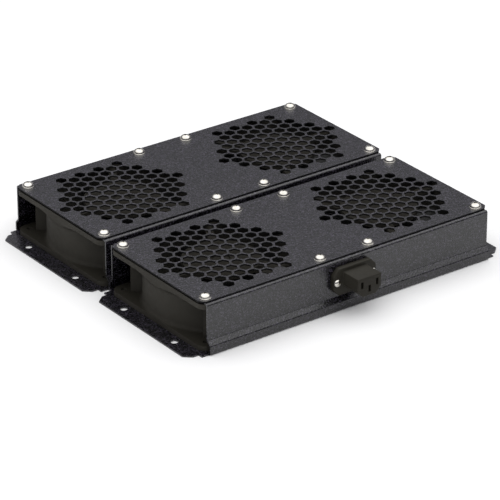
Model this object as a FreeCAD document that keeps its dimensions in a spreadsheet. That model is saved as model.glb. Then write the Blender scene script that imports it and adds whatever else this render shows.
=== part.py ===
import FreeCAD, Part

import math
import os

import Sketcher

Vector = FreeCAD.Vector
Placement = FreeCAD.Placement
Rotation = FreeCAD.Rotation

# Driving dimensions in millimetres and degrees. Each one is a cell of the sheet, under its own name.
DIMENSIONS = {
    # folded steel channels, one for each row of fans
    "sheet_metal": 1.2,
    "bend_radius": 0.8,
    "joggle_step": 3.5,
    "wall_setback": 2.9,
    "joggle_bottom": 7.5,
    "joggle_top": 11.4,
    "lip_depth": 14.0,
    "lip_corner_cut": 1.5,
    "end_reach": 14.2,
    "end_prong": 6.1,
    "end_notch": 5.0,
    "end_notch_depth": 4.1,
    "end_corner_cut": 5.3,
    "mount_edge": 8.0,
    "mount_hole_pitch": 65.0,
    "mount_hole_radius": 2.85,
    # axial fans
    "fan_side": 120.0,
    "fan_depth": 38.0,
    "fan_pitch": 150.0,
    "fan_hole_edge": 7.6,
    "fan_hole_radius": 2.15,
    "fan_corner_radius": 8.0,
    "fan_flange": 4.0,
    "bore_edge": 3.0,
    "barrel_wall": 2.0,
    "casting_fillet": 7.0,
    "casting_foot_fillet": 3.0,
    "corner_web": 5.0,
    "web_hole_gap": 5.7,
    "side_gap": 0.3,
    "top_gap": 0.2,
    "motor_plate_radius": 30.0,
    "motor_plate": 3.5,
    "motor_plate_drop": 2.3,
    "plate_recess_radius": 7.0,
    "plate_recess_depth": 1.2,
    "strut_count": 3,
    "strut_width": 6.0,
    "strut_turn": 65.0,
    "terminal_strut_width": 18.0,
    "terminal_strut": 1.75,
    "bearing_tube_radius": 7.0,
    "bearing_radius": 5.0,
    "bearing_length": 20.0,
    "shaft_radius": 2.0,
    "shaft_fit": 0.05,
    "shaft_end_gap": 0.425,
    # rotors
    "hub_radius": 29.0,
    "hub_wall": 3.0,
    "hub_floor": 2.0,
    "hub_bottom": 5.0,
    "hub_edge": 1.5,
    "hub_boss_radius": 5.0,
    "hub_boss": 4.0,
    "rotor_gap": 1.7,
    "blade_count": 5,
    "blade_tip_gap": 1.2,
    "blade_thickness": 1.8,
    "blade_camber": 2.2,
    "blade_bottom": 7.0,
    "blade_top": 28.0,
    "blade_root_half": 9.5,
    "blade_tip_half": 23.0,
    "blade_root_sink": 2.7,
    "blade_tip_fall": 3.5,
    # stators
    "stator_radius": 24.5,
    "stator_core_radius": 13.0,
    "pole_count": 4,
    "pole_neck": 7.0,
    "pole_shoe_width": 28.0,
    "pole_shoe": 4.0,
    "stator_bottom": 13.0,
    "stator_height": 14.0,
    # perforated covers
    "cover_overhang": 0.25,
    "cover_setback": 2.75,
    "cover_corner_cut": 4.0,
    "hex_pitch": 10.1,
    "hex_flats": 8.3,
    "hex_reach": 4.5,
    "screw_hole_radius": 2.25,
    # cover screws
    "screw_rim_radius": 4.7,
    "screw_rim": 0.8,
    "screw_head_radius": 3.75,
    "screw_shoulder_radius": 3.3,
    "screw_shoulder": 1.8,
    "screw_crown_radius": 2.0,
    "screw_head": 2.7,
    "screw_shank_radius": 2.0,
    "screw_length": 6.2,
    # power connector
    "connector_height": 25.1,
    "connector_flange_width": 40.0,
    "connector_flange_height": 22.0,
    "connector_flange": 4.6,
    "connector_flange_cut": 5.2,
    "nose_width": 22.2,
    "nose_height": 15.6,
    "nose_length": 17.5,
    "nose_cut": 5.0,
    "slot_pitch": 14.0,
    "slot_width": 2.2,
    "slot_height": 5.4,
    "slot_stagger": 4.0,
    "connector_back_width": 24.0,
    "connector_back_height": 18.0,
    "connector_back": 9.0,
    "connector_cutout_gap": 0.4,
    "contact_depth": 10.0,
    "contact_tab": 8.0,
    "contact_tab_thickness": 0.8,
    "connector_screw_pitch": 33.6,
    "connector_screw_radius": 1.5,
    "connector_screw_gap": 0.15,
    "connector_screw_end": 0.6,
    "connector_head_radius": 3.1,
    "connector_head_side": 1.0,
    "connector_crown_radius": 1.9,
    "connector_head": 2.2,
    "connector_nut_flats": 5.5,
    "connector_nut": 2.4,
    # terminal block and cable bushings
    "block_gap": 2.0,
    "block_wall": 1.0,
    "block_depth": 16.0,
    "block_height": 13.0,
    "block_step": 5.0,
    "block_place": 20.0,
    "pole_pitch": 8.0,
    "wire_entry": 3.0,
    "bushing_height": 24.0,
    "bushing_radius": 5.0,
    "bushing_hole_radius": 3.4,
    "bushing_rim_radius": 6.6,
    "bushing_rim": 1.4,
    "bushing_gap": 0.1,
}

# Sizes that follow the driving ones, so that what holds the fans keeps fitting them.
FOLLOWING = {
    "fans_length": "fan_pitch + fan_side",
    "overall_length": "fans_length + 2 * end_reach",
    "wall_length": "fans_length - 2 * wall_setback",
    "cover_length": "fans_length + 2 * cover_overhang",
    "channel_width": "fan_side + 2 * side_gap + 2 * sheet_metal",
    "module_pitch": "channel_width + 2 * joggle_step",
    "cover_depth": "channel_width - 2 * cover_setback",
    "bore_radius": "fan_side / 2 - bore_edge",
    "fan_hole_pitch": "fan_side - 2 * fan_hole_edge",
    "block_width": "fan_pitch - fan_side - 2 * block_gap",
}

# A square frame's corners, and the turn from its sides to them.
CORNER_COUNT = "4"
CORNER_TURN = "45"

# Sizes that follow from the driving ones, written as expressions over the sheet.
UPPER_HALF = "(sizes.channel_width / 2)"
LOWER_HALF = "(sizes.module_pitch / 2)"
JOGGLE_STEP = "sizes.joggle_step"
JOGGLE_RISE = "(sizes.joggle_top - sizes.joggle_bottom)"
JOGGLE_RUN = f"sqrt({JOGGLE_STEP} ^ 2 + {JOGGLE_RISE} ^ 2)"
JOGGLE_DROP = f"(sizes.sheet_metal * ({JOGGLE_RUN} - {JOGGLE_RISE}) / {JOGGLE_STEP})"
LIP_TOP = "(sizes.fan_depth + sizes.top_gap + 2 * sizes.sheet_metal)"
COVER_TOP = f"({LIP_TOP} + sizes.sheet_metal)"
BARREL_RADIUS = "(sizes.bore_radius + sizes.barrel_wall)"
CASTING_ROOM = "(sizes.fan_depth - 2 * sizes.fan_flange) / 3"
CASTING_FILLET = f"min(sizes.casting_fillet; {CASTING_ROOM})"
CASTING_FOOT_FILLET = f"min(sizes.casting_foot_fillet; {CASTING_ROOM})"
PLATE_TOP = "(sizes.fan_depth - sizes.motor_plate_drop)"
PLATE_BOTTOM = f"({PLATE_TOP} - sizes.motor_plate)"
BEARING_TOP = f"({PLATE_BOTTOM} + sizes.plate_recess_depth)"
BEARING_BOTTOM = f"({BEARING_TOP} - sizes.bearing_length)"

doc = FreeCAD.newDocument("rack_fan_tray")
sheet = doc.addObject("Spreadsheet::Sheet", "sizes")
cells = {alias: str(number) for alias, number in DIMENSIONS.items()}
cells.update({alias: f"={formula}" for alias, formula in FOLLOWING.items()})
for row, (alias, content) in enumerate(cells.items(), start=1):
    sheet.set(f"A{row}", alias)
    sheet.set(f"B{row}", content)
    sheet.setAlias(f"B{row}", alias)
doc.recompute()


def value(expression):
    """The number that an expression over the sheet stands for."""
    return float(sheet.evalExpression(str(expression)))


def minus(expression):
    return f"-({expression})"


def new_body(label):
    body = doc.addObject("PartDesign::Body", label)
    body.Label = label
    return body


def origin_feature(body, role):
    return next(item for item in body.Origin.OriginFeatures if item.Role == role)


def new_sketch(body, role, name, offset="0", turn=None):
    """A sketch on one of the body's own planes, moved along the plane's normal and turned about it."""
    sketch = body.newObject("Sketcher::SketchObject", name)
    sketch.AttachmentSupport = (origin_feature(body, role), "")
    sketch.MapMode = "FlatFace"
    angle = value(turn) if turn else 0
    sketch.AttachmentOffset = Placement(Vector(0, 0, value(offset)), Rotation(Vector(0, 0, 1), angle))
    sketch.setExpression("AttachmentOffset.Base.z", str(offset))
    if turn:
        sketch.setExpression("AttachmentOffset.Rotation.Angle", turn)
    return sketch


def bind(sketch, kind, geometry, point, expression):
    constraint = Sketcher.Constraint(kind, -1, 1, geometry, point, value(expression))
    index = sketch.addConstraint(constraint)
    sketch.setExpression(f"Constraints[{index}]", str(expression))


def polygon(sketch, points):
    """A closed outline whose corners are pairs of expressions."""
    first = sketch.GeometryCount
    corners = [Vector(value(across), value(along), 0) for across, along in points]
    for start, end in zip(corners, corners[1:] + corners[:1]):
        sketch.addGeometry(Part.LineSegment(start, end), False)
    for index, (across, along) in enumerate(points):
        following = (index + 1) % len(points)
        joint = Sketcher.Constraint("Coincident", first + index, 2, first + following, 1)
        sketch.addConstraint(joint)
        bind(sketch, "DistanceX", first + index, 1, across)
        bind(sketch, "DistanceY", first + index, 1, along)


def rectangle(sketch, left, bottom, right, top):
    polygon(sketch, [(left, bottom), (right, bottom), (right, top), (left, top)])


def circle(sketch, across, along, radius):
    centre = Vector(value(across), value(along), 0)
    shape = Part.Circle(centre, Vector(0, 0, 1), value(radius))
    index = sketch.addGeometry(shape, False)
    bind(sketch, "DistanceX", index, 3, across)
    bind(sketch, "DistanceY", index, 3, along)
    size = sketch.addConstraint(Sketcher.Constraint("Radius", index, value(radius)))
    sketch.setExpression(f"Constraints[{size}]", str(radius))


def pad(body, sketch, length, name, symmetric=False, reverse=False):
    feature = body.newObject("PartDesign::Pad", name)
    feature.Profile = sketch
    feature.Length = value(length)
    feature.setExpression("Length", str(length))
    feature.SideType = "Symmetric" if symmetric else "One side"
    feature.Reversed = reverse
    doc.recompute()
    return feature


def check_cut(body, feature, before):
    doc.recompute()
    if not body.Shape.Volume < before:
        raise ValueError(f"{feature.Name} of {body.Label} removes nothing")
    return feature


def pocket(body, sketch, length, name, reverse=False):
    """A cut against the sketch's normal, or along it where reverse is set."""
    before = body.Shape.Volume
    feature = body.newObject("PartDesign::Pocket", name)
    feature.Profile = sketch
    feature.Length = value(length)
    feature.setExpression("Length", str(length))
    feature.Reversed = reverse
    return check_cut(body, feature, before)


def revolve(body, sketch, name, kind="Revolution"):
    before = body.Shape.Volume if kind == "Groove" else 0
    feature = body.newObject(f"PartDesign::{kind}", name)
    feature.Profile = sketch
    feature.ReferenceAxis = (origin_feature(body, "Z_Axis"), [""])
    feature.Angle = 360
    doc.recompute()
    if kind == "Groove":
        check_cut(body, feature, before)
    return feature


def polar_pattern(body, feature, count, name):
    pattern = body.newObject("PartDesign::PolarPattern", name)
    pattern.Originals = [feature]
    pattern.Axis = (origin_feature(body, "Z_Axis"), [""])
    pattern.Angle = 360
    pattern.Occurrences = int(value(count))
    pattern.setExpression("Occurrences", str(count))
    body.Tip = pattern
    doc.recompute()
    return pattern


def fillet(body, base, wanted, radius, name):
    """Round the edges that a test on their middle point and direction picks."""
    names = []
    for index, edge in enumerate(base.Shape.Edges, start=1):
        middle = edge.valueAt((edge.FirstParameter + edge.LastParameter) / 2)
        if wanted(middle, edge.tangentAt(edge.FirstParameter)):
            names.append(f"Edge{index}")
    feature = body.newObject("PartDesign::Fillet", name)
    feature.Base = (base, names)
    feature.Radius = value(radius)
    feature.setExpression("Radius", str(radius))
    body.Tip = feature
    doc.recompute()
    return feature


def group(label, master, places):
    """Identical pieces kept together as one node of separate solids."""
    node = doc.addObject("Part::Feature", label)
    node.Label = label
    copies = []
    for place in places:
        copy = master.Shape.copy()
        copy.Placement = place.multiply(copy.Placement)
        copies.append(copy)
    node.Shape = Part.makeCompound(copies)
    return node


def placed(label, master, place):
    """One more piece of the same design, at its own place."""
    node = doc.addObject("Part::Feature", label)
    node.Label = label
    node.Shape = master.Shape
    node.Placement = place.multiply(master.Placement)
    return node


def corners(half_across, half_along):
    """The four corners of a rectangle about the origin, as pairs of expressions."""
    return [
        (half_across, half_along),
        (minus(half_across), half_along),
        (minus(half_across), minus(half_along)),
        (half_across, minus(half_along)),
    ]


def cut_corner_outline(half_across, half_along, cut):
    """A rectangle with its four corners cut off at 45 degrees."""
    near_across = f"({half_across} - {cut})"
    near_along = f"({half_along} - {cut})"
    return [
        (half_across, minus(near_along)),
        (half_across, near_along),
        (near_across, half_along),
        (minus(near_across), half_along),
        (minus(half_across), near_along),
        (minus(half_across), minus(near_along)),
        (minus(near_across), minus(half_along)),
        (near_across, minus(half_along)),
    ]


# Channels: a floor, two joggled walls and two inward lips folded from one blank.
def channel_profile():
    """Half of the folded section, from the middle of the floor's underside round to its top."""
    sheet_metal = "sizes.sheet_metal"
    lip_edge = f"({UPPER_HALF} - sizes.lip_depth)"
    outside = [
        (LOWER_HALF, "0"),
        (LOWER_HALF, "sizes.joggle_bottom"),
        (UPPER_HALF, "sizes.joggle_top"),
        (UPPER_HALF, LIP_TOP),
        (lip_edge, LIP_TOP),
    ]
    inside = [
        (lip_edge, f"({LIP_TOP} - {sheet_metal})"),
        (f"({UPPER_HALF} - {sheet_metal})", f"({LIP_TOP} - {sheet_metal})"),
        (f"({UPPER_HALF} - {sheet_metal})", f"(sizes.joggle_top - {JOGGLE_DROP})"),
        (f"({LOWER_HALF} - {sheet_metal})", f"(sizes.joggle_bottom - {JOGGLE_DROP})"),
        (f"({LOWER_HALF} - {sheet_metal})", sheet_metal),
    ]
    return outside, inside


def end_outline():
    """The flat floor with its end flanges: prongs at the bend lines, notches and cut corners."""
    prong_along = f"({LOWER_HALF} - sizes.sheet_metal - sizes.bend_radius)"
    prong_end = "(sizes.wall_length / 2 + sizes.end_prong)"
    notch_along = f"({prong_along} - sizes.end_notch_depth)"
    notch_end = f"({prong_end} + sizes.end_notch)"
    tip = "(sizes.overall_length / 2)"
    tip_along = f"({notch_along} - sizes.end_corner_cut)"
    quarter = [
        (tip, tip_along),
        (notch_end, notch_along),
        (prong_end, notch_along),
        (prong_end, prong_along),
    ]
    points = list(quarter)
    points += [(minus(across), along) for across, along in reversed(quarter)]
    points += [(minus(across), minus(along)) for across, along in quarter]
    points += [(across, minus(along)) for across, along in reversed(quarter)]
    return points


def bend_edges(points):
    """A test that picks the long edges whose place in the section is one of the points."""
    places = [(side * value(across), value(height)) for across, height in points for side in (-1, 1)]

    def wanted(middle, direction):
        long = abs(direction.x) > 0.9
        return long and any(math.hypot(middle.y - y, middle.z - z) < 0.01 for y, z in places)

    return wanted


def make_chassis(label):
    body = new_body(label)
    outside, inside = channel_profile()
    half = outside + inside
    section = new_sketch(body, "YZ_Plane", f"{label}_section")
    polygon(section, half + [(minus(across), height) for across, height in reversed(half)])
    folded = pad(body, section, "sizes.wall_length", f"{label}_folded", symmetric=True)

    inner_bends = [outside[2], inside[1], inside[3], inside[4]]
    outer_bends = [outside[0], outside[1], outside[3], inside[2]]
    inner_radius = "sizes.bend_radius"
    outer_radius = "sizes.bend_radius + sizes.sheet_metal"
    folded = fillet(body, folded, bend_edges(inner_bends), inner_radius, f"{label}_inner_bends")
    folded = fillet(body, folded, bend_edges(outer_bends), outer_radius, f"{label}_outer_bends")

    floor = new_sketch(body, "XY_Plane", f"{label}_floor_outline")
    polygon(floor, end_outline())
    pad(body, floor, "sizes.sheet_metal", f"{label}_floor")

    openings = new_sketch(body, "XY_Plane", f"{label}_floor_holes")
    for across in ("sizes.fan_pitch / 2", minus("sizes.fan_pitch / 2")):
        circle(openings, across, "0", "sizes.bore_radius")
    for across, along in corners("sizes.overall_length / 2 - sizes.mount_edge", "sizes.mount_hole_pitch / 2"):
        circle(openings, across, along, "sizes.mount_hole_radius")
    pocket(body, openings, "sizes.sheet_metal", f"{label}_floor_openings", reverse=True)

    lip_under = f"{LIP_TOP} - sizes.sheet_metal"
    scallops = new_sketch(body, "XY_Plane", f"{label}_scallop_outline", lip_under)
    for across in ("sizes.fan_pitch / 2", minus("sizes.fan_pitch / 2")):
        circle(scallops, across, "0", "sizes.bore_radius")
    pocket(body, scallops, "sizes.sheet_metal", f"{label}_lip_scallops", reverse=True)

    lips = new_sketch(body, "XY_Plane", f"{label}_lip_cuts", lip_under)
    for across, along in screw_places():
        circle(lips, across, along, "sizes.screw_hole_radius")
    bend_line = f"({UPPER_HALF} - sizes.sheet_metal - sizes.bend_radius)"
    past_end = "(sizes.wall_length / 2 + sizes.sheet_metal)"
    cut = "(sizes.lip_corner_cut + sizes.sheet_metal)"
    for side in ("1", "-1"):
        for end in ("1", "-1"):
            polygon(
                lips,
                [
                    (f"{end} * {past_end}", f"{side} * {bend_line}"),
                    (f"{end} * ({past_end} - {cut})", f"{side} * {bend_line}"),
                    (f"{end} * {past_end}", f"{side} * ({bend_line} - {cut})"),
                ],
            )
    pocket(body, lips, "sizes.sheet_metal", f"{label}_lip_openings", reverse=True)
    return body


def cut_wall(body, side, name, draw):
    """Cut a hole through the front or the rear upper wall of a channel."""
    clear = "sizes.sheet_metal"
    outward = f"({UPPER_HALF} + {clear})"
    offset = outward if side == "front" else minus(outward)
    sketch = new_sketch(body, "XZ_Plane", f"{name}_outline", offset)
    draw(sketch)
    pocket(body, sketch, f"2 * sizes.sheet_metal + {clear}", name, reverse=side == "rear")


def draw_connector_cutout(sketch):
    half = "(sizes.connector_back_width / 2 + sizes.connector_cutout_gap)"
    rise = "(sizes.connector_back_height / 2 + sizes.connector_cutout_gap)"
    low = f"(sizes.connector_height - {rise})"
    high = f"(sizes.connector_height + {rise})"
    rectangle(sketch, minus(half), low, half, high)
    for across in ("sizes.connector_screw_pitch / 2", minus("sizes.connector_screw_pitch / 2")):
        radius = "sizes.connector_screw_radius + sizes.connector_screw_gap"
        circle(sketch, across, "sizes.connector_height", radius)


def draw_bushing_hole(sketch):
    circle(sketch, "0", "sizes.bushing_height", "sizes.bushing_radius + sizes.bushing_gap")


def screw_places():
    """The eight places where a cover is screwed down, four over each fan."""
    half = "sizes.fan_hole_pitch / 2"
    places = []
    for fan in ("sizes.fan_pitch / 2", minus("sizes.fan_pitch / 2")):
        places += [(f"{fan} + {across}", along) for across, along in corners(half, half)]
    return places


# Covers: flat plates with a hexagonal field of hexagonal holes over each fan.
def hexagon_field(centre):
    """The holes' centres: a hexagonal grid inside a larger hexagon that stands on its corners."""
    pitch = value("sizes.hex_pitch")
    reach = value("sizes.hex_reach") * pitch
    rounding = 0.01
    column_pitch = pitch * math.cos(math.radians(30))
    columns = math.ceil(2 * reach / column_pitch)
    places = []
    for column in range(-columns, columns + 1):
        stagger = pitch / 2 if column % 2 else 0
        for step in range(-columns, columns + 1):
            across = column * column_pitch
            along = step * pitch + stagger
            leaning = abs(across) * math.cos(math.radians(30)) + abs(along) / 2
            if max(abs(along), leaning) < reach + rounding:
                places.append(Vector(centre + across, along, 0))
    return places


def make_hole_cutter(label):
    """Prisms for all the hexagonal holes of one cover, a little longer than the sheet is thick."""
    sheet_metal = value("sizes.sheet_metal")
    corner_radius = value("sizes.hex_flats") / math.sqrt(3)
    bottom = value(LIP_TOP) - sheet_metal / 2
    ring = [math.radians(60 * corner) for corner in range(6)]
    prisms = []
    for centre in (-value("sizes.fan_pitch") / 2, value("sizes.fan_pitch") / 2):
        for place in hexagon_field(centre):
            corner_points = [
                place + Vector(corner_radius * math.cos(turn), corner_radius * math.sin(turn), bottom)
                for turn in ring
            ]
            face = Part.Face(Part.makePolygon(corner_points + corner_points[:1]))
            prisms.append(face.extrude(Vector(0, 0, 2 * sheet_metal)))
    cutter = doc.addObject("Part::Feature", f"{label}_holes")
    cutter.Shape = Part.makeCompound(prisms)
    return cutter


def make_cover(label):
    plate = new_body(f"{label}_plate")
    outline = new_sketch(plate, "XY_Plane", f"{label}_outline", LIP_TOP)
    half_length = "sizes.cover_length / 2"
    half_depth = "sizes.cover_depth / 2"
    polygon(outline, cut_corner_outline(half_length, half_depth, "sizes.cover_corner_cut"))
    for across, along in screw_places():
        circle(outline, across, along, "sizes.screw_hole_radius")
    pad(plate, outline, "sizes.sheet_metal", f"{label}_sheet")

    cover = doc.addObject("Part::Cut", label)
    cover.Label = label
    cover.Base = plate
    cover.Tool = make_hole_cutter(label)
    doc.recompute()
    return cover


# Cover screws: pan heads with a wide rim, driven into the fans' corner holes.
def make_cover_screw():
    body = new_body("cover_screw")
    profile = new_sketch(body, "XZ_Plane", "cover_screw_profile")
    polygon(
        profile,
        [
            ("0", minus("sizes.screw_length")),
            ("sizes.screw_shank_radius", minus("sizes.screw_length")),
            ("sizes.screw_shank_radius", "0"),
            ("sizes.screw_rim_radius", "0"),
            ("sizes.screw_rim_radius", "sizes.screw_rim"),
            ("sizes.screw_head_radius", "sizes.screw_rim"),
            ("sizes.screw_shoulder_radius", "sizes.screw_rim + sizes.screw_shoulder"),
            ("sizes.screw_crown_radius", "sizes.screw_rim + sizes.screw_head"),
            ("0", "sizes.screw_rim + sizes.screw_head"),
        ],
    )
    revolve(body, profile, "cover_screw_turned")
    return body


# Fans: a square frame with a round bore, a motor plate on struts, and the rotor inside.
def make_fan_frame(label):
    body = new_body(label)
    upper_face = "(sizes.fan_depth - sizes.fan_flange)"
    blank_radius = "(sizes.fan_side / sqrt(2) + sizes.casting_fillet)"
    profile = new_sketch(body, "XZ_Plane", f"{label}_profile")
    polygon(
        profile,
        [
            ("0", "0"),
            (blank_radius, "0"),
            (blank_radius, "sizes.fan_flange"),
            (BARREL_RADIUS, "sizes.fan_flange"),
            (BARREL_RADIUS, upper_face),
            (blank_radius, upper_face),
            (blank_radius, "sizes.fan_depth"),
            ("0", "sizes.fan_depth"),
        ],
    )
    solid = revolve(body, profile, f"{label}_round_blank")

    barrel = value(BARREL_RADIUS)
    ends = (("foot", "sizes.fan_flange", CASTING_FOOT_FILLET), ("head", upper_face, CASTING_FILLET))
    for end, face, radius in ends:
        height = value(face)

        def barrel_end(middle, direction):
            on_barrel = abs(math.hypot(middle.x, middle.y) - barrel) < 0.01
            return on_barrel and abs(middle.z - height) < 0.01

        solid = fillet(body, solid, barrel_end, radius, f"{label}_{end}_fillet")

    half = "sizes.fan_side / 2"
    square = new_sketch(body, "XY_Plane", f"{label}_square_outline")
    rectangle(square, minus("sizes.fan_side"), minus("sizes.fan_side"), "sizes.fan_side", "sizes.fan_side")
    rectangle(square, minus(half), minus(half), half, half)
    solid = pocket(body, square, "sizes.fan_depth", f"{label}_squared", reverse=True)

    side = value(half)

    def corner_edge(middle, direction):
        at_corner = abs(abs(middle.x) - side) < 0.01 and abs(abs(middle.y) - side) < 0.01
        return at_corner and abs(direction.z) > 0.9

    fillet(body, solid, corner_edge, "sizes.fan_corner_radius", f"{label}_corners")

    web = new_sketch(body, "XY_Plane", f"{label}_web_outline", "sizes.fan_flange", CORNER_TURN)
    rectangle(
        web,
        "sizes.bore_radius",
        minus("sizes.corner_web / 2"),
        "(sizes.fan_hole_pitch / sqrt(2) - sizes.web_hole_gap)",
        "sizes.corner_web / 2",
    )
    first = pad(body, web, f"{upper_face} - sizes.fan_flange", f"{label}_web")
    polar_pattern(body, first, CORNER_COUNT, f"{label}_webs")

    holes = new_sketch(body, "XY_Plane", f"{label}_hole_outline")
    circle(holes, "0", "0", "sizes.bore_radius")
    for across, along in corners("sizes.fan_hole_pitch / 2", "sizes.fan_hole_pitch / 2"):
        circle(holes, across, along, "sizes.fan_hole_radius")
    pocket(body, holes, "sizes.fan_depth", f"{label}_bore_and_holes", reverse=True)

    turn = "sizes.strut_turn"
    strut = new_sketch(body, "XY_Plane", f"{label}_strut_outline", PLATE_BOTTOM, turn)
    reach = "(sizes.bore_radius + sizes.barrel_wall / 2)"
    rectangle(strut, "0", minus("sizes.strut_width / 2"), reach, "sizes.strut_width / 2")
    first = pad(body, strut, "sizes.motor_plate", f"{label}_strut")
    polar_pattern(body, first, "sizes.strut_count", f"{label}_struts")

    plate = new_sketch(body, "XY_Plane", f"{label}_motor_plate_outline", PLATE_BOTTOM)
    circle(plate, "0", "0", "sizes.motor_plate_radius")
    pad(body, plate, "sizes.motor_plate", f"{label}_motor_plate")

    turn = "(sizes.strut_turn - 360 / sizes.strut_count)"
    tab = new_sketch(body, "XY_Plane", f"{label}_terminal_outline", PLATE_BOTTOM, turn)
    rectangle(
        tab,
        "sizes.motor_plate_radius / 2",
        minus("sizes.terminal_strut_width / 2"),
        reach,
        "sizes.terminal_strut_width / 2",
    )
    pad(body, tab, "sizes.terminal_strut", f"{label}_terminal_strut")

    tube = new_sketch(body, "XY_Plane", f"{label}_tube_outline", BEARING_BOTTOM)
    circle(tube, "0", "0", "sizes.bearing_tube_radius")
    pad(body, tube, f"{PLATE_BOTTOM} - {BEARING_BOTTOM}", f"{label}_bearing_tube")

    seat = new_sketch(body, "XY_Plane", f"{label}_seat_outline", BEARING_BOTTOM)
    circle(seat, "0", "0", "sizes.bearing_radius")
    pocket(body, seat, "sizes.bearing_length", f"{label}_bearing_seat", reverse=True)

    recess = new_sketch(body, "XY_Plane", f"{label}_recess_outline", PLATE_TOP)
    circle(recess, "0", "0", "sizes.plate_recess_radius")
    pocket(body, recess, "sizes.plate_recess_depth", f"{label}_plate_recess")
    return body


def make_bearing(label):
    body = new_body(label)
    ring = new_sketch(body, "XY_Plane", f"{label}_outline", BEARING_BOTTOM)
    circle(ring, "0", "0", "sizes.bearing_radius")
    circle(ring, "0", "0", "sizes.shaft_radius + sizes.shaft_fit")
    pad(body, ring, "sizes.bearing_length", f"{label}_sleeve")
    return body


def make_shaft(label):
    body = new_body(label)
    rod = new_sketch(body, "XY_Plane", f"{label}_outline", "sizes.hub_bottom")
    circle(rod, "0", "0", "sizes.shaft_radius")
    pad(body, rod, f"{BEARING_TOP} - sizes.shaft_end_gap - sizes.hub_bottom", f"{label}_rod")
    return body


def make_stator(label):
    """Laminated core with four poles, on the bearing tube inside the rotor's cup."""
    body = new_body(label)
    core = new_sketch(body, "XY_Plane", f"{label}_core_outline", "sizes.stator_bottom")
    circle(core, "0", "0", "sizes.stator_core_radius")
    circle(core, "0", "0", "sizes.bearing_tube_radius")
    pad(body, core, "sizes.stator_height", f"{label}_core")

    pole = new_sketch(body, "XY_Plane", f"{label}_pole_outline", "sizes.stator_bottom")
    neck = "(sizes.pole_neck / 2)"
    shoe = "(sizes.pole_shoe_width / 2)"
    root = "(sizes.stator_core_radius + sizes.bearing_tube_radius) / 2"
    tip = f"sqrt(sizes.stator_radius ^ 2 - {shoe} ^ 2)"
    polygon(
        pole,
        [
            (root, minus(neck)),
            (f"({tip} - sizes.pole_shoe)", minus(neck)),
            (tip, minus(shoe)),
            ("sizes.stator_radius", "0"),
            (tip, shoe),
            (f"({tip} - sizes.pole_shoe)", neck),
            (root, neck),
        ],
    )
    first = pad(body, pole, "sizes.stator_height", f"{label}_pole")
    polar_pattern(body, first, "sizes.pole_count", f"{label}_poles")
    return body


def blade_section(half, bottom, top):
    """A thin cambered section, leaning from its low leading edge to its high trailing edge."""
    thick = "sizes.blade_thickness"
    camber = "sizes.blade_camber"
    middle = f"(({bottom} + {top}) / 2)"
    return [
        (minus(half), bottom),
        ("0", f"({middle} - {camber} - {thick})"),
        (half, f"({top} - {thick})"),
        (half, top),
        ("0", f"({middle} - {camber} + {thick} / 2)"),
        (minus(half), f"({bottom} + {thick})"),
    ]


def make_rotor(label):
    body = new_body(label)
    rim = f"({PLATE_BOTTOM} - sizes.rotor_gap)"
    inner = "(sizes.hub_radius - sizes.hub_wall)"
    inside_floor = "(sizes.hub_bottom + sizes.hub_floor)"
    cup = new_sketch(body, "XZ_Plane", f"{label}_cup_profile")
    polygon(
        cup,
        [
            ("sizes.shaft_radius", "sizes.hub_bottom"),
            ("(sizes.hub_radius - sizes.hub_edge)", "sizes.hub_bottom"),
            ("sizes.hub_radius", "(sizes.hub_bottom + sizes.hub_edge)"),
            ("sizes.hub_radius", rim),
            (inner, rim),
            (inner, inside_floor),
            ("sizes.hub_boss_radius", inside_floor),
            ("sizes.hub_boss_radius", f"({inside_floor} + sizes.hub_boss)"),
            ("sizes.shaft_radius", f"({inside_floor} + sizes.hub_boss)"),
        ],
    )
    revolve(body, cup, f"{label}_cup")

    root = "(sizes.hub_radius - sizes.blade_root_sink)"
    root_sketch = new_sketch(body, "YZ_Plane", f"{label}_blade_root", root)
    low = "sizes.blade_bottom"
    high = "sizes.blade_top"
    polygon(root_sketch, blade_section("sizes.blade_root_half", low, high))
    tip_sketch = new_sketch(body, "YZ_Plane", f"{label}_blade_tip", "sizes.bore_radius")
    tip_low = f"({low} + sizes.blade_tip_fall)"
    tip_high = f"({high} - sizes.blade_tip_fall)"
    polygon(tip_sketch, blade_section("sizes.blade_tip_half", tip_low, tip_high))
    blade = body.newObject("PartDesign::AdditiveLoft", f"{label}_blade")
    blade.Profile = root_sketch
    blade.Sections = [tip_sketch]
    blade.Ruled = True
    doc.recompute()
    polar_pattern(body, blade, "sizes.blade_count", f"{label}_blades")

    trim = new_sketch(body, "XZ_Plane", f"{label}_tip_trim")
    sweep = "(sizes.bore_radius - sizes.blade_tip_gap)"
    rectangle(trim, sweep, "0", "sizes.fan_side", "sizes.fan_depth")
    revolve(body, trim, f"{label}_trimmed_tips", "Groove")
    return body


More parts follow.
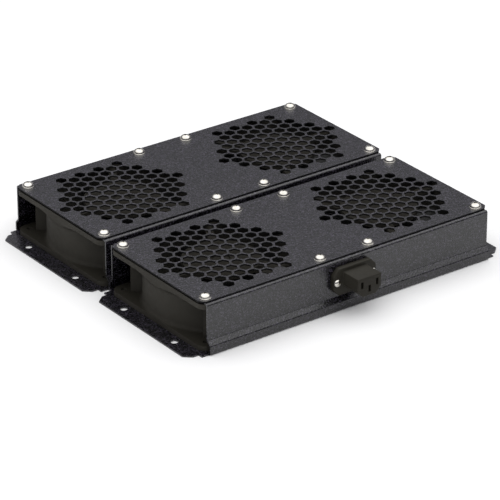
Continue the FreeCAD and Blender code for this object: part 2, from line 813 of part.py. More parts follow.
# Power connector: a screwed flange with a three-slot nose in front and a housing behind the wall.
def make_connector(label):
    body = new_body(label)
    flange = new_sketch(body, "XZ_Plane", f"{label}_flange_outline")
    half_width = "sizes.connector_flange_width / 2"
    half_height = "sizes.connector_flange_height / 2"
    polygon(flange, cut_corner_outline(half_width, half_height, "sizes.connector_flange_cut"))
    for across in ("sizes.connector_screw_pitch / 2", minus("sizes.connector_screw_pitch / 2")):
        circle(flange, across, "0", "sizes.connector_screw_radius + sizes.connector_screw_gap")
    pad(body, flange, "sizes.connector_flange", f"{label}_flange")

    nose = new_sketch(body, "XZ_Plane", f"{label}_nose_outline", "sizes.connector_flange")
    side = "sizes.nose_width / 2"
    top = "sizes.nose_height / 2"
    polygon(
        nose,
        [
            (side, top),
            (minus(side), top),
            (minus(side), f"-({top} - sizes.nose_cut)"),
            (f"-({side} - sizes.nose_cut)", minus(top)),
            (f"({side} - sizes.nose_cut)", minus(top)),
            (side, f"-({top} - sizes.nose_cut)"),
        ],
    )
    pad(body, nose, "sizes.nose_length", f"{label}_nose")

    back = new_sketch(body, "XZ_Plane", f"{label}_back_outline")
    across = "sizes.connector_back_width / 2"
    along = "sizes.connector_back_height / 2"
    rectangle(back, minus(across), minus(along), across, along)
    depth = "sizes.sheet_metal + sizes.connector_back"
    pad(body, back, depth, f"{label}_back", reverse=True)

    face = "sizes.connector_flange + sizes.nose_length"
    slots = new_sketch(body, "XZ_Plane", f"{label}_slot_outline", face)
    for across, along in slot_places():
        rectangle(
            slots,
            f"({across} - sizes.slot_width / 2)",
            f"({along} - sizes.slot_height / 2)",
            f"({across} + sizes.slot_width / 2)",
            f"({along} + sizes.slot_height / 2)",
        )
    pocket(body, slots, f"{face} + {depth}", f"{label}_slots")
    body.Placement = connector_placement()
    return body


def slot_places():
    rise = "sizes.slot_stagger / 2"
    return [
        ("sizes.slot_pitch / 2", rise),
        (minus("sizes.slot_pitch / 2"), rise),
        ("0", minus(rise)),
    ]


def connector_placement():
    wall_face = value(minus(f"{LOWER_HALF} + {UPPER_HALF}"))
    return Placement(Vector(0, wall_face, value("sizes.connector_height")), Rotation())


def make_contacts(label):
    """A contact at the back of each slot, ending in a flat tab for a push-on terminal."""
    body = new_body(f"{label}_single")
    blade = new_sketch(body, "XZ_Plane", f"{label}_outline", "sizes.connector_flange")
    half = "sizes.slot_width / 2"
    rise = "sizes.slot_height / 2"
    rectangle(blade, minus(half), minus(rise), half, rise)
    housing = "(sizes.connector_flange + sizes.sheet_metal + sizes.connector_back)"
    pad(body, blade, housing, f"{label}_grip", reverse=True)
    tab = new_sketch(body, "XZ_Plane", f"{label}_tab_outline", "sizes.connector_flange")
    thin = "(sizes.contact_tab_thickness / 2)"
    rectangle(tab, minus(thin), minus(rise), thin, rise)
    pad(body, tab, f"{housing} + sizes.contact_tab", f"{label}_tab", reverse=True)
    places = []
    for across, along in slot_places():
        shift = Placement(Vector(value(across), 0, value(along)), Rotation())
        places.append(connector_placement().multiply(shift))
    return group(label, body, places)


def make_connector_fasteners():
    screw = new_body("connector_screw")
    profile = new_sketch(screw, "XZ_Plane", "connector_screw_profile")
    grip = "sizes.connector_flange + sizes.sheet_metal + sizes.connector_nut"
    length = f"({grip} + sizes.connector_screw_end)"
    polygon(
        profile,
        [
            ("0", minus(length)),
            ("sizes.connector_screw_radius", minus(length)),
            ("sizes.connector_screw_radius", "0"),
            ("sizes.connector_head_radius", "0"),
            ("sizes.connector_head_radius", "sizes.connector_head_side"),
            ("sizes.connector_crown_radius", "sizes.connector_head"),
            ("0", "sizes.connector_head"),
        ],
    )
    revolve(screw, profile, "connector_screw_turned")

    nut_blank = doc.addObject("Part::Prism", "connector_nut_blank")
    nut_blank.Polygon = 6
    nut_blank.setExpression("Circumradius", "sizes.connector_nut_flats / sqrt(3)")
    nut_blank.setExpression("Height", "sizes.connector_nut")
    nut_bore = doc.addObject("Part::Cylinder", "connector_nut_bore")
    nut_bore.setExpression("Radius", "sizes.connector_screw_radius")
    nut_bore.setExpression("Height", "sizes.connector_nut")
    nut = doc.addObject("Part::Cut", "connector_nut_master")
    nut.Base = nut_blank
    nut.Tool = nut_bore
    doc.recompute()

    outwards = Rotation(Vector(1, 0, 0), 90)
    screw_places = []
    nut_places = []
    for side in (-1, 1):
        across = side * value("sizes.connector_screw_pitch / 2")
        head = Vector(across, -value("sizes.connector_flange"), 0)
        screw_places.append(connector_placement().multiply(Placement(head, outwards)))
        behind = Vector(across, value("sizes.sheet_metal + sizes.connector_nut"), 0)
        nut_places.append(connector_placement().multiply(Placement(behind, outwards)))
    return [group("connector_screws", screw, screw_places), group("connector_nuts", nut, nut_places)]


# Terminal block on the front channel's floor, and bushings where the wiring passes the walls.
def make_terminal_block(label):
    body = new_body(label)
    profile = new_sketch(body, "YZ_Plane", f"{label}_profile")
    half = "sizes.block_depth / 2"
    step = "(sizes.block_depth / 2 - sizes.block_step)"
    shoulder = "(sizes.block_height - sizes.block_step)"
    polygon(
        profile,
        [
            (minus(half), "0"),
            (half, "0"),
            (half, shoulder),
            (step, "sizes.block_height"),
            (minus(step), "sizes.block_height"),
            (minus(half), shoulder),
        ],
    )
    pad(body, profile, "sizes.block_width", f"{label}_moulding", symmetric=True)

    entries = new_sketch(body, "XZ_Plane", f"{label}_entry_outline", half)
    half_entry = "sizes.wire_entry / 2"
    room = value(f"sizes.block_width / 2 - {half_entry} - sizes.block_wall")
    side_poles = int(room / value("sizes.pole_pitch"))
    for pole in range(-side_poles, side_poles + 1):
        centre = f"({pole} * sizes.pole_pitch)"
        middle = f"({shoulder} / 2)"
        rectangle(
            entries,
            f"({centre} - {half_entry})",
            f"({middle} - {half_entry})",
            f"({centre} + {half_entry})",
            f"({middle} + {half_entry})",
        )
    pocket(body, entries, "sizes.block_depth", f"{label}_wire_entries")
    along = value(f"-{LOWER_HALF} - sizes.block_place")
    body.Placement = Placement(Vector(0, along, value("sizes.sheet_metal")), Rotation())
    return body


def make_bushings(label):
    """Snap-in bushings: a barrel through the wall with a rim on each side."""
    body = new_body(f"{label}_single")
    profile = new_sketch(body, "XZ_Plane", f"{label}_profile")
    wall = "sizes.sheet_metal / 2"
    rim = "(sizes.sheet_metal / 2 + sizes.bushing_rim)"
    polygon(
        profile,
        [
            ("sizes.bushing_hole_radius", minus(rim)),
            ("sizes.bushing_rim_radius", minus(rim)),
            ("sizes.bushing_rim_radius", minus(wall)),
            ("sizes.bushing_radius", minus(wall)),
            ("sizes.bushing_radius", wall),
            ("sizes.bushing_rim_radius", wall),
            ("sizes.bushing_rim_radius", rim),
            ("sizes.bushing_hole_radius", rim),
        ],
    )
    revolve(body, profile, f"{label}_turned")
    middle = value(f"{LOWER_HALF} - {UPPER_HALF} + sizes.sheet_metal / 2")
    height = value("sizes.bushing_height")
    outwards = Rotation(Vector(1, 0, 0), 90)
    places = [Placement(Vector(0, side * middle, height), outwards) for side in (-1, 1)]
    return group(label, body, places)


def module_place(side):
    return Placement(Vector(0, side * value(LOWER_HALF), 0), Rotation())


def make_modules():
    """The two channels with their covers and cover screws."""
    nodes = []
    screw = make_cover_screw()
    cover = make_cover("cover")
    for name, side in (("front", -1), ("rear", 1)):
        chassis = make_chassis(f"{name}_chassis")
        if name == "front":
            cut_wall(chassis, "front", "connector_cutout", draw_connector_cutout)
            cut_wall(chassis, "rear", "front_bushing_hole", draw_bushing_hole)
        else:
            cut_wall(chassis, "front", "rear_bushing_hole", draw_bushing_hole)
        chassis.Placement = module_place(side)
        places = []
        for across, along in screw_places():
            seat = Vector(value(across), value(along), value(COVER_TOP))
            places.append(module_place(side).multiply(Placement(seat, Rotation())))
        nodes += [
            chassis,
            placed(f"{name}_cover", cover, module_place(side)),
            group(f"{name}_cover_screws", screw, places),
        ]
    return nodes


def make_fans():
    """Four fans; the two on the right are turned half round, so all leads meet in the middle."""
    nodes = []
    pieces = [
        make_fan_frame("fan_frame"),
        make_bearing("fan_bearing"),
        make_stator("fan_stator"),
        make_rotor("fan_rotor"),
        make_shaft("fan_shaft"),
    ]
    number = 0
    for side in (-1, 1):
        for end in (-1, 1):
            number += 1
            across = end * value("sizes.fan_pitch / 2")
            along = side * value(LOWER_HALF)
            half_turn = 180 if end > 0 else 0
            spot = Vector(across, along, value("sizes.sheet_metal"))
            place = Placement(spot, Rotation(Vector(0, 0, 1), half_turn))
            nodes += [placed(f"{piece.Label}_{number}", piece, place) for piece in pieces]
    return nodes


nodes = make_modules()
nodes += make_fans()
nodes += [make_connector("power_connector"), make_contacts("connector_contacts")]
nodes += make_connector_fasteners()
nodes += [make_terminal_block("terminal_block"), make_bushings("cable_bushings")]
doc.recompute()

for item in doc.Objects:
    if "Invalid" in item.State or "Error" in item.State:
        raise ValueError(f"{item.Name} did not recompute: {item.State}")
for node in nodes:
    if node.Shape.isNull() or not node.Shape.isValid():
        raise ValueError(f"{node.Label} has no valid shape")

os.makedirs("parts", exist_ok=True)
for node in nodes:
    node.Shape.exportStep(f"parts/{node.Label}.step")
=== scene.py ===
import math

import bmesh
import bpy
from bpy.props import FloatProperty, FloatVectorProperty, PointerProperty, StringProperty
from mathutils import Matrix, Vector


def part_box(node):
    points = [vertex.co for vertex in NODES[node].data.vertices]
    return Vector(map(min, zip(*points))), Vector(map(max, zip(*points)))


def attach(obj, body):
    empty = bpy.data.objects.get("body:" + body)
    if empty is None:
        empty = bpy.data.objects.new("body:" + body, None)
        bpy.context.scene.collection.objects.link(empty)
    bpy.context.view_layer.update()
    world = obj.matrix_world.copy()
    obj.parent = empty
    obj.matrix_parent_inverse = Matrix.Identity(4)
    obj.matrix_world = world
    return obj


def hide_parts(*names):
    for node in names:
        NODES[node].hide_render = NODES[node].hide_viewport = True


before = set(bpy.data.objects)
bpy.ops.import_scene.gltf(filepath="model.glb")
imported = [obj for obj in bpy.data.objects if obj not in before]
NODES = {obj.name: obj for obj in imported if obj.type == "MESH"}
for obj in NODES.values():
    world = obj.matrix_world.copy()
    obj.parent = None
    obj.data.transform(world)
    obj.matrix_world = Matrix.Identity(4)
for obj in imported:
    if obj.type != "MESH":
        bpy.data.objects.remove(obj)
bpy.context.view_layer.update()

bl_info = {
    "name": "Rack Fan Tray",
    "version": (1, 0, 0),
    "blender": (4, 5, 0),
    "location": "View3D > Sidebar > Fan Tray",
    "description": "Finishes and fine pieces of a rack fan tray on its packed frame",
    "category": "Object",
}

MM = 0.001


def like(stem):
    """The frame's nodes whose names start with a stem."""
    return sorted(name for name in NODES if name.startswith(stem))


# Colours and shader nodes
def linear(hex_colour):
    """An sRGB hex colour as the linear numbers that a shader takes."""
    channels = [int(hex_colour[start : start + 2], 16) / 255 for start in (1, 3, 5)]
    light = [c / 12.92 if c <= 0.04045 else ((c + 0.055) / 1.055) ** 2.4 for c in channels]
    return (*light, 1.0)


def add_node(tree, kind, values=None, links=None, **settings):
    """One shader node with its settings, its sockets' values and what feeds its sockets."""
    made = tree.nodes.new(kind)
    for name, setting in settings.items():
        setattr(made, name, setting)
    for socket, number in (values or {}).items():
        made.inputs[socket].default_value = number
    for socket, source in (links or {}).items():
        tree.links.new(source, made.inputs[socket])
    return made


def new_material(name):
    """An empty node material with its output, and the piece's own coordinates to hang patterns on."""
    material = bpy.data.materials.new(name)
    material.use_nodes = True
    tree = material.node_tree
    tree.nodes.clear()
    output = add_node(tree, "ShaderNodeOutputMaterial")
    place = add_node(tree, "ShaderNodeTexCoord").outputs["Object"]
    return material, tree, output, place


def grain(tree, place, size, detail=2.0, roughness=0.5, stretch=(1, 1, 1)):
    """Noise whose grains are about as wide as a size in metres, longer where stretch is below 1."""
    moved = add_node(tree, "ShaderNodeMapping", {"Scale": stretch}, {"Vector": place})
    noise = add_node(
        tree,
        "ShaderNodeTexNoise",
        {"Scale": 0.5 / size, "Detail": detail, "Roughness": roughness},
        {"Vector": moved.outputs["Vector"]},
    )
    return noise.outputs["Fac"]


def cells(tree, place, size):
    """A random number for each cell about as wide as a size in metres."""
    texture = add_node(tree, "ShaderNodeTexVoronoi", {"Scale": 1 / size}, {"Vector": place})
    parts = add_node(tree, "ShaderNodeSeparateColor", links={"Color": texture.outputs["Color"]})
    return parts.outputs["Red"]


def spread(tree, source, low, high, start=0.3, end=0.7):
    """A pattern's values between start and end, spread from low to high."""
    ranged = add_node(
        tree,
        "ShaderNodeMapRange",
        {"From Min": start, "From Max": end, "To Min": low, "To Max": high},
        {"Value": source},
    )
    return ranged.outputs["Result"]


def two_tones(tree, factor, first, second):
    """A colour between two hex colours, by a factor from 0 to 1."""
    mix = add_node(tree, "ShaderNodeMix", data_type="RGBA")
    mix.inputs["A"].default_value = linear(first)
    mix.inputs["B"].default_value = linear(second)
    tree.links.new(factor, mix.inputs["Factor"])
    return mix.outputs["Result"]


def relief(tree, height, depth, strength=1.0):
    """A normal that stands for bumps as high as a depth in metres."""
    bump = add_node(
        tree,
        "ShaderNodeBump",
        {"Distance": depth, "Strength": strength},
        {"Height": height},
    )
    return bump.outputs["Normal"]


def surface(tree, output, values, links):
    """A material's one shader, joined to its output."""
    shader = add_node(tree, "ShaderNodeBsdfPrincipled", values, links)
    tree.links.new(shader.outputs["BSDF"], output.inputs["Surface"])


# Finishes
def powder_coated_steel():
    """Fine-textured polyester powder coat: near-black pigment under a half-gloss, pebbled skin."""
    finishes = bpy.context.scene.fan_tray_finishes
    material, tree, output, place = new_material("powder_coated_steel")
    # The real pebbles are about 0.4 mm wide. They are drawn coarser, to show at this distance.
    pebbles = grain(tree, place, finishes.pebble_width, detail=0.0)
    flecks = cells(tree, place, finishes.fleck_width)
    # About one cell in three is a fleck, from barely paler than the coat up to the fleck's full colour.
    bright = spread(tree, flecks, 0, 1, start=0.66, end=1)
    colour = two_tones(tree, bright, finishes.coat, finishes.coat_fleck)
    rough = spread(tree, pebbles, 0.22, 0.34)
    skin = relief(tree, pebbles, finishes.pebble_height)
    surface(
        tree,
        output,
        {"IOR": 1.62},
        {"Base Color": colour, "Roughness": rough, "Normal": skin},
    )
    return material


def painted_edge_shade():
    """Laser-cut steel edge, dark and matt: painted shade for the gap under the cover and in its holes."""
    finishes = bpy.context.scene.fan_tray_finishes
    material, tree, output, place = new_material("painted_edge_shade")
    streaks = grain(tree, place, 0.5 * MM, detail=2.0, stretch=(1, 1, 0.2))
    colour = two_tones(tree, spread(tree, streaks, 0, 1), finishes.edge_shade_colour, finishes.coat)
    rough = spread(tree, streaks, 0.7, 0.9)
    values = {"IOR": 1.5, "Specular IOR Level": 0.12}
    surface(tree, output, values, {"Base Color": colour, "Roughness": rough})
    return material


def nickel_plated_steel():
    """Bright nickel on turned steel: a warm white metal with a faint lathe texture."""
    finishes = bpy.context.scene.fan_tray_finishes
    material, tree, output, place = new_material("nickel_plated_steel")
    cloud = grain(tree, place, 1.5 * MM, detail=2.0)
    colour = two_tones(tree, spread(tree, cloud, 0, 1), finishes.nickel, finishes.nickel_shade)
    rough = spread(tree, cloud, 0.18, 0.28)
    surface(tree, output, {"Metallic": 1.0}, {"Base Color": colour, "Roughness": rough})
    return material


def painted_casting():
    """Die-cast aluminium sprayed matt black, with painted light: upright faces paler than level ones."""
    finishes = bpy.context.scene.fan_tray_finishes
    material, tree, output, place = new_material("painted_aluminium_casting")
    dimples = grain(tree, place, 1.6 * MM, detail=2.0)
    blotches = grain(tree, place, 14 * MM, detail=4.0, roughness=0.6)
    # Painted light and shade: level faces, shaded by the covers, stay dark, and upright faces are painted
    # paler in blotches.
    normal = place.node.outputs["Normal"]
    facing = add_node(tree, "ShaderNodeSeparateXYZ", links={"Vector": normal}).outputs["Z"]
    level = add_node(tree, "ShaderNodeMath", links={0: facing}, operation="ABSOLUTE").outputs["Value"]
    upright = spread(tree, level, 1, 0, start=0.2, end=0.9)
    brightened = add_node(
        tree,
        "ShaderNodeMath",
        links={0: upright, 1: spread(tree, blotches, 0.6, 1)},
        operation="MULTIPLY",
    )
    colour = two_tones(tree, brightened.outputs["Value"], finishes.casting, finishes.casting_side_light)
    rough = spread(tree, dimples, 0.55, 0.68)
    surface(
        tree,
        output,
        {"IOR": 1.5, "Specular IOR Level": 0.1},
        {"Base Color": colour, "Roughness": rough, "Normal": relief(tree, dimples, 0.04 * MM, 0.4)},
    )
    return material


def moulded_nylon(name, first, second, rough=(0.38, 0.5), gloss=0.5):
    """Glass-filled nylon from a spark-eroded mould: even colour with a fine matt grain."""
    material, tree, output, place = new_material(name)
    skin = grain(tree, place, 0.7 * MM, detail=2.0)
    tone = grain(tree, place, 9 * MM, detail=3.0)
    surface(
        tree,
        output,
        {"IOR": 1.53, "Specular IOR Level": gloss},
        {
            "Base Color": two_tones(tree, spread(tree, tone, 0, 1), first, second),
            "Roughness": spread(tree, skin, *rough),
            "Normal": relief(tree, skin, 0.03 * MM, 0.4),
        },
    )
    return material


def plain_metal(name, first, second, rough, scratch=(1, 1, 1)):
    """A bare metal: one colour that varies a little, with its roughness broken by fine marks."""
    material, tree, output, place = new_material(name)
    marks = grain(tree, place, 0.8 * MM, detail=3.0, stretch=scratch)
    surface(
        tree,
        output,
        {"Metallic": 1.0},
        {
            "Base Color": two_tones(tree, spread(tree, marks, 0, 1), first, second),
            "Roughness": spread(tree, marks, *rough),
        },
    )
    return material


# Mesh helpers
def merged_copy(node):
    """A CAD node's mesh as a bmesh with its loose triangles joined and its flats made whole."""
    bm = bmesh.new()
    bm.from_mesh(NODES[node].data)
    bmesh.ops.remove_doubles(bm, verts=bm.verts[:], dist=1e-6)
    bmesh.ops.dissolve_limit(bm, angle_limit=math.radians(0.5), verts=bm.verts[:], edges=bm.edges[:])
    return bm


def round_edges(bm, width, wanted, segments=3, sharper_than=25.0):
    """Bevel the edges that fold by more than an angle in degrees and that a test wants."""
    edges = []
    for edge in bm.edges:
        folds = len(edge.link_faces) == 2 and edge.calc_face_angle(0) > math.radians(sharper_than)
        if folds and wanted(edge):
            edges.append(edge)
    bmesh.ops.bevel(
        bm,
        geom=edges,
        offset=width,
        offset_type="OFFSET",
        segments=segments,
        profile=0.5,
        affect="EDGES",
        clamp_overlap=True,
        material=-1,
    )


def turned(profile, steps):
    """A solid of revolution about Z from a profile of radius and height pairs, in metres."""
    bm = bmesh.new()
    rim = [bm.verts.new((radius, 0, height)) for radius, height in profile]
    edges = [bm.edges.new(pair) for pair in zip(rim, rim[1:])]
    bmesh.ops.spin(
        bm,
        geom=rim + edges,
        cent=(0, 0, 0),
        axis=(0, 0, 1),
        angle=math.tau,
        steps=steps,
        use_merge=True,
    )
    bmesh.ops.remove_doubles(bm, verts=bm.verts[:], dist=1e-6)
    bmesh.ops.recalc_face_normals(bm, faces=bm.faces[:])
    return bm


def block(size, centre):
    """A closed box as a bmesh."""
    bm = bmesh.new()
    bmesh.ops.create_cube(bm, size=1.0)
    bmesh.ops.scale(bm, vec=size, verts=bm.verts[:])
    bmesh.ops.translate(bm, vec=centre, verts=bm.verts[:])
    return bm


def mesh_object(bm, name):
    """A bmesh made a named object of the scene."""
    mesh = bpy.data.meshes.new(name)
    bm.to_mesh(mesh)
    bm.free()
    made = bpy.data.objects.new(name, mesh)
    bpy.context.scene.collection.objects.link(made)
    return made


def carve(bm, cutter):
    """The first shape with the second cut out of it, as a new bmesh."""
    base = mesh_object(bm, "carving_base")
    tool = mesh_object(cutter, "carving_tool")
    cut = base.modifiers.new("cut", "BOOLEAN")
    cut.operation = "DIFFERENCE"
    cut.solver = "EXACT"
    cut.object = tool
    bpy.context.view_layer.update()
    evaluated = base.evaluated_get(bpy.context.evaluated_depsgraph_get())
    result = bmesh.new()
    result.from_mesh(evaluated.to_mesh())
    evaluated.to_mesh_clear()
    for spent in (base, tool):
        mesh = spent.data
        bpy.data.objects.remove(spent)
        bpy.data.meshes.remove(mesh)
    return result


def copies(bm, places):
    """One shape at several places, as one bmesh."""
    row = bmesh.new()
    pattern = bpy.data.meshes.new("pattern")
    bm.to_mesh(pattern)
    bm.free()
    for place in places:
        start = len(row.verts)
        row.from_mesh(pattern)
        row.verts.ensure_lookup_table()
        bmesh.ops.transform(row, matrix=place, verts=row.verts[start:])
    bpy.data.meshes.remove(pattern)
    return row


def finish_piece(bm, name, material, body="tray", nodes=(), smooth=30.0):
    """Turns a bmesh into a named piece that rides on a body and stands for its CAD nodes."""
    for face in bm.faces:
        face.smooth = True
    for edge in bm.edges:
        edge.smooth = edge.calc_face_angle(math.pi) < math.radians(smooth)
    piece = mesh_object(bm, name)
    piece.data.materials.append(material)
    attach(piece, body)
    if nodes:
        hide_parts(*nodes)
    return piece


def paint(nodes, material):
    """Gives CAD nodes a finish without touching their meshes."""
    for name in nodes:
        piece = NODES[name]
        if not piece.data.materials:
            piece.data.materials.append(material)
        for index in range(len(piece.material_slots)):
            piece.material_slots[index].material = material


def hex_property(name, description, default):
    """A setting that holds a colour as an sRGB hex value."""
    return StringProperty(name=name, description=description, default=default)


def length_property(name, description, default):
    """A setting that holds a length in metres."""
    return FloatProperty(name=name, description=description, default=default, unit="LENGTH", min=0.0)


# Settings that a user would change
class FanTrayFinishes(bpy.types.PropertyGroup):
    """Colours and grain sizes of the finishes"""

    coat: hex_property("Powder coat", "sRGB colour of the powder coat's pigment", "#060608")
    coat_fleck: hex_property("Coat fleck", "sRGB colour of the coat's lighter grains", "#413d48")
    fleck_width: length_property("Fleck width", "Width of the coat's lighter grains as drawn", 0.8 * MM)
    pebble_width: length_property("Pebble width", "Width of the coat's pebbles as drawn", 0.6 * MM)
    pebble_height: length_property("Pebble height", "Height of the coat's pebbles as drawn", 0.1 * MM)
    # Painted shade: the covers' cut edges and hole walls are made near-black for the shade that falls
    # there.
    edge_shade_colour: hex_property("Cut edge", "sRGB colour of the covers' cut edges", "#222222")
    nickel: hex_property("Nickel", "sRGB colour of the plated screws", "#d9d6cf")
    nickel_shade: hex_property("Nickel shade", "sRGB colour of the plating's darker clouds", "#b9b6ae")
    casting: hex_property("Casting paint", "sRGB colour of the fan frames' paint", "#272520")
    # Painted light: the paler tone of the frames' upright faces, against their shaded level faces.
    casting_side_light: hex_property("Worn casting paint", "sRGB colour where that paint is thin", "#3a3833")
    rotor: hex_property("Rotor plastic", "sRGB colour of the fan rotors", "#121211")
    connector: hex_property("Connector plastic", "sRGB colour of the power connector", "#26241f")


class FanTraySizes(bpy.types.PropertyGroup):
    """Sizes of the fine pieces"""

    fan_pitch: length_property("Fan pitch", "Distance between the two fans of a channel", 150.0 * MM)
    hole_pitch: length_property("Fan hole pitch", "Distance between a fan's corner screws", 104.8 * MM)
    screw_radius: length_property("Screw radius", "Radius of a cover screw's head with its rim", 4.95 * MM)
    screw_rim: length_property("Screw rim", "Width and height of the round rim under its dome", 0.45 * MM)
    screw_height: length_property("Screw height", "Height of a cover screw's head over the cover", 3.5 * MM)
    screw_fullness: FloatProperty(
        name="Screw fullness",
        description="How square the outline of a screw's domed head is, 2 being an ellipse",
        default=2.0,
    )
    recess_width: length_property("Recess width", "Width of one arm of a cross recess", 0.9 * MM)
    recess_length: length_property("Recess length", "Length of one arm of a cross recess", 2.8 * MM)
    connector_screw_height: length_property(
        "Connector screw height",
        "Height of a connector screw's head over the flange",
        2.1 * MM,
    )
    connector_edge: length_property("Connector edge", "Rounding of the connector's moulded edges", 0.9 * MM)


class FanTrayStage(bpy.types.PropertyGroup):
    """Floor, light and camera"""

    camera_place: FloatVectorProperty(
        name="Camera place",
        description="Where the camera stands",
        default=(-1.32923, -1.7958, 1.10094),
        unit="LENGTH",
    )
    camera_azimuth: FloatProperty(
        name="Camera azimuth",
        description="Turn of the camera about the upright axis",
        default=math.radians(-36.505),
        unit="ROTATION",
    )
    camera_elevation: FloatProperty(
        name="Camera elevation",
        description="How far above level the camera stands, as an angle",
        default=math.radians(26.3236),
        unit="ROTATION",
    )
    lens: FloatProperty(
        name="Lens",
        description="Focal length in millimetres on a 36 mm sensor",
        default=231.065,
        unit="CAMERA",
    )
    floor_tone: hex_property("Floor", "sRGB colour of the floor", "#ececec")
    wall_tint: hex_property("Wall tint", "sRGB colour of the walls' light", "#e8e6ff")
    wall_light: FloatProperty(
        name="Wall light",
        description="Brightness at the foot of the walls",
        default=0.1,
    )
    softbox_light: FloatProperty(
        name="Softbox light",
        description="Brightness of the softbox overhead",
        default=1.93,
    )
    wall_foot: FloatProperty(
        name="Wall foot",
        description="Height at which the walls begin to brighten, as the sine of the angle above level",
        default=0.05,
    )
    wall_fade: FloatProperty(
        name="Wall fade",
        description="How late the walls brighten on the way up, as an exponent",
        default=4.0,
    )
    softbox_edge: FloatProperty(
        name="Softbox edge",
        description="Height at which the softbox reaches full brightness, as the sine of that angle",
        default=0.7,
    )


# Pieces
class FANTRAY_OT_channels(bpy.types.Operator):
    """Finish the folded channels and their perforated covers"""

    bl_idname = "fan_tray.channels"
    bl_label = "Channels and covers"

    def execute(self, context):
        coat = powder_coated_steel()
        paint(["front_chassis", "rear_chassis"], coat)
        edge_shade_material = painted_edge_shade()
        for row in ("front", "rear"):
            cover = merged_copy(f"{row}_cover")
            name = f"{row}_cover_sheet"
            piece = finish_piece(cover, name, coat, nodes=[f"{row}_cover"])
            piece.data.materials.append(edge_shade_material)
            # Upright faces, the cut edges and hole walls, take the near-black edge material as painted
            # shade.
            for face in piece.data.polygons:
                face.material_index = 0 if abs(face.normal.z) > 0.5 else 1
        return {"FINISHED"}


def rounded_cap(radius, rise, foot, fullness, steps=9):
    """The profile of a screw's dome, from its top to its foot: squarer with more fullness."""
    profile = []
    for step in range(steps + 1):
        turn = math.radians(90 * step / steps)
        across = radius * math.sin(turn) ** (2 / fullness)
        up = rise * math.cos(turn) ** (2 / fullness) if step < steps else 0.0
        profile.append((across, foot + up))
    return profile


def cross_recess(head, top, length, width, depth, turn):
    """A screw head with a cross recess sunk into its top."""
    for angle in (turn, turn + math.pi / 2):
        bar = block((length, width, 2 * depth), (0, 0, top))
        bmesh.ops.rotate(bar, cent=(0, 0, 0), matrix=Matrix.Rotation(angle, 3, "Z"), verts=bar.verts[:])
        head = carve(head, bar)
    return head


class FANTRAY_OT_cover_screws(bpy.types.Operator):
    """Build the domed cross-recess screws that hold the covers down"""

    bl_idname = "fan_tray.cover_screws"
    bl_label = "Cover screws"

    def execute(self, context):
        sizes = context.scene.fan_tray_sizes
        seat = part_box("front_cover")[1].z
        shank = 2.0 * MM
        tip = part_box("front_cover_screws")[0].z - seat
        dome = sizes.screw_radius - sizes.screw_rim
        rise = sizes.screw_height - sizes.screw_rim
        profile = rounded_cap(dome, rise, sizes.screw_rim, sizes.screw_fullness, steps=14)
        rim_steps = 3
        for step in range(rim_steps + 1):
            turn = math.radians(90 * step / rim_steps)
            across = dome + sizes.screw_rim * math.sin(turn)
            profile.append((across, sizes.screw_rim * math.cos(turn)))
        profile += [(shank, 0.0), (shank, tip + shank / 4), (shank * 0.75, tip), (0.0, tip)]
        # Driven screws stop at different turns, so each one is turned on from the last.
        turn_between = 1.3
        steel = nickel_plated_steel()
        for row in ("front", "rear"):
            head = cross_recess(
                turned(profile, steps=36),
                top=sizes.screw_height,
                length=sizes.recess_length,
                width=sizes.recess_width,
                depth=1.6 * MM,
                turn=math.radians(20),
            )
            low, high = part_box(f"{row}_cover_screws")
            middle = (low + high) / 2
            places = []
            for fan in (-0.5, 0.5):
                for end in (-0.5, 0.5):
                    for side in (-0.5, 0.5):
                        x = middle.x + fan * sizes.fan_pitch + end * sizes.hole_pitch
                        y = middle.y + side * sizes.hole_pitch
                        turn = Matrix.Rotation(turn_between * len(places), 4, "Z")
                        places.append(Matrix.Translation((x, y, seat)) @ turn)
            name = f"{row}_cover_screw_heads"
            finish_piece(copies(head, places), name, steel, nodes=[f"{row}_cover_screws"])
        return {"FINISHED"}


class FANTRAY_OT_fans(bpy.types.Operator):
    """Finish the fans' frames, rotors, shafts, bearings and stators"""

    bl_idname = "fan_tray.fans"
    bl_label = "Fans"

    def execute(self, context):
        finishes = context.scene.fan_tray_finishes
        paint(like("fan_frame_"), painted_casting())
        paint(like("fan_rotor_"), moulded_nylon("rotor_nylon", finishes.rotor, "#171716", gloss=0.3))
        paint(like("fan_shaft_"), plain_metal("ground_steel", "#a8a8aa", "#8c8c90", (0.18, 0.3)))
        paint(like("fan_bearing_"), plain_metal("sintered_bronze", "#a6773c", "#7c5528", (0.4, 0.55)))
        laminations = plain_metal("core_laminations", "#5c5c60", "#44444a", (0.4, 0.6), (1, 1, 12))
        paint(like("fan_stator_"), laminations)
        return {"FINISHED"}


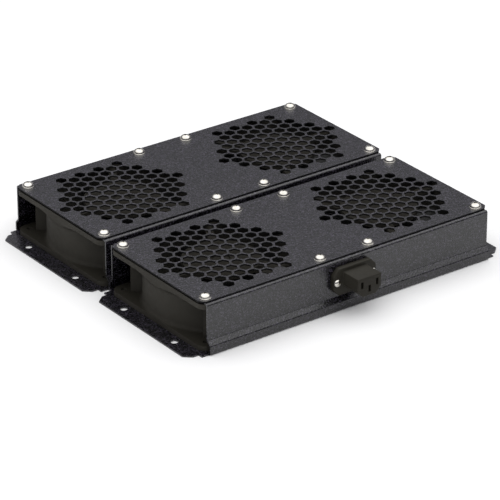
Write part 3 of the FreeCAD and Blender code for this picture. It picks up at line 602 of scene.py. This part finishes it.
class FANTRAY_OT_connector(bpy.types.Operator):
    """Build the moulded power connector with its contacts, screws and nuts"""

    bl_idname = "fan_tray.connector"
    bl_label = "Power connector"

    def execute(self, context):
        finishes = context.scene.fan_tray_finishes
        sizes = context.scene.fan_tray_sizes
        plastic = moulded_nylon(
            "connector_nylon",
            finishes.connector,
            "#2d2b25",
            rough=(0.5, 0.62),
            gloss=0.12,
        )
        steel = nickel_plated_steel()
        body = merged_copy("power_connector")
        low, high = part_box("power_connector")
        middle = (low + high) / 2
        # Half the width and height of the field that holds the three slots, whose edges stay sharp.
        slots_wide = 8.6 * MM
        slots_high = 5.2 * MM
        slot_reach = Vector((slots_wide, high.y - low.y, slots_high))
        shortest = 2.5 * MM

        def outside(edge):
            """Whether an edge lies beyond the slots and is long enough to take the rounding."""
            away = (edge.verts[0].co + edge.verts[1].co) / 2 - middle
            beyond = any(abs(away[axis]) > slot_reach[axis] for axis in range(3))
            return beyond and edge.calc_length() > shortest

        round_edges(body, sizes.connector_edge, outside)
        finish_piece(body, "connector_moulding", plastic, nodes=["power_connector"])
        paint(["connector_contacts"], plain_metal("contact_brass", "#6e6248", "#4f4633", (0.3, 0.45)))
        paint(["connector_nuts"], steel)

        low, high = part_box("connector_screws")
        radius = (high.z - low.z) / 2
        face = low.y
        height = sizes.connector_screw_height
        length = high.y - low.y - height
        profile = rounded_cap(radius, height, 0.0, sizes.screw_fullness)
        shank = 1.5 * MM
        profile += [(shank, 0.0), (shank, -length + shank / 3), (shank * 0.7, -length), (0.0, -length)]
        head = cross_recess(
            turned(profile, steps=28),
            top=height,
            length=3.0 * MM,
            width=0.65 * MM,
            depth=0.9 * MM,
            turn=math.radians(15),
        )
        outwards = Matrix.Rotation(math.pi / 2, 4, "X")
        middle = (low + high) / 2
        reach = (high.x - low.x) / 2 - radius
        places = [
            Matrix.Translation((middle.x + side * reach, face + height, middle.z)) @ outwards
            for side in (-1, 1)
        ]
        screws = copies(head, places)
        finish_piece(screws, "connector_screw_heads", steel, nodes=["connector_screws"])
        return {"FINISHED"}


class FANTRAY_OT_wiring(bpy.types.Operator):
    """Finish the terminal block and the bushings that the wiring uses"""

    bl_idname = "fan_tray.wiring"
    bl_label = "Terminal block and bushings"

    def execute(self, context):
        paint(["terminal_block"], moulded_nylon("natural_nylon", "#d8d5c8", "#cbc7b8"))
        paint(["cable_bushings"], moulded_nylon("black_nylon", "#151515", "#1d1d1d"))
        return {"FINISHED"}


# Stage
class FANTRAY_OT_stage(bpy.types.Operator):
    """Lay the pale floor, light it softly and set up the camera"""

    bl_idname = "fan_tray.stage"
    bl_label = "Floor, light and camera"

    def execute(self, context):
        stage = context.scene.fan_tray_stage
        # Half the floor's side in metres, wide enough to run past the picture on every side.
        floor_reach = 6.0
        floor = bmesh.new()
        bmesh.ops.create_grid(floor, x_segments=1, y_segments=1, size=floor_reach)
        ground = mesh_object(floor, "studio_floor")
        material, tree, output, place = new_material("studio_paper")
        surface(tree, output, {"Base Color": linear(stage.floor_tone), "Roughness": 0.9}, {})
        ground.data.materials.append(material)

        # The room is a wide softbox overhead that falls off to dim, slightly blue walls all round.
        world = bpy.data.worlds.new("studio")
        world.use_nodes = True
        sky = world.node_tree
        direction = add_node(sky, "ShaderNodeTexCoord").outputs["Generated"]
        height = add_node(sky, "ShaderNodeSeparateXYZ", links={"Vector": direction}).outputs["Z"]
        climb = spread(sky, height, 0, 1, stage.wall_foot, stage.softbox_edge)
        bend = add_node(sky, "ShaderNodeMath", {1: stage.wall_fade}, {0: climb}, operation="POWER")
        strength = spread(sky, bend.outputs["Value"], stage.wall_light, stage.softbox_light, 0, 1)
        background = sky.nodes["Background"]
        tint = two_tones(sky, climb, stage.wall_tint, "#ffffff")
        sky.links.new(tint, background.inputs["Color"])
        sky.links.new(strength, background.inputs["Strength"])
        context.scene.world = world
        context.scene.view_settings.view_transform = "Standard"

        camera_data = bpy.data.cameras.new("camera")
        camera_data.lens = stage.lens
        camera_data.sensor_width = 36.0
        camera_data.clip_start = 0.1
        camera_data.clip_end = 50.0
        camera = bpy.data.objects.new("camera", camera_data)
        camera.location = stage.camera_place
        camera.rotation_euler = (math.pi / 2 - stage.camera_elevation, 0, stage.camera_azimuth)
        context.scene.collection.objects.link(camera)
        context.scene.camera = camera
        return {"FINISHED"}


PIECES = (
    FANTRAY_OT_channels,
    FANTRAY_OT_cover_screws,
    FANTRAY_OT_fans,
    FANTRAY_OT_connector,
    FANTRAY_OT_wiring,
    FANTRAY_OT_stage,
)


class FANTRAY_PT_panel(bpy.types.Panel):
    """Lists the tray's settings and the steps that build it"""

    bl_label = "Rack fan tray"
    bl_idname = "FANTRAY_PT_panel"
    bl_space_type = "VIEW_3D"
    bl_region_type = "UI"
    bl_category = "Fan Tray"

    def draw(self, context):
        for settings in (
            context.scene.fan_tray_finishes,
            context.scene.fan_tray_sizes,
            context.scene.fan_tray_stage,
        ):
            box = self.layout.box()
            for name in settings.__annotations__:
                box.prop(settings, name)
        for piece in PIECES:
            self.layout.operator(piece.bl_idname)


CLASSES = (FanTrayFinishes, FanTraySizes, FanTrayStage, *PIECES, FANTRAY_PT_panel)


def register():
    """Registers the classes and gives the scene its settings."""
    for item in CLASSES:
        bpy.utils.register_class(item)
    bpy.types.Scene.fan_tray_finishes = PointerProperty(type=FanTrayFinishes)
    bpy.types.Scene.fan_tray_sizes = PointerProperty(type=FanTraySizes)
    bpy.types.Scene.fan_tray_stage = PointerProperty(type=FanTrayStage)


def unregister():
    """Takes the settings and the classes away again."""
    del bpy.types.Scene.fan_tray_stage
    del bpy.types.Scene.fan_tray_sizes
    del bpy.types.Scene.fan_tray_finishes
    for item in reversed(CLASSES):
        bpy.utils.unregister_class(item)


def main():
    """Builds every piece and the stage."""
    register()
    for piece in PIECES:
        group, name = piece.bl_idname.split(".")
        getattr(getattr(bpy.ops, group), name)()


if __name__ == "__main__":
    main()
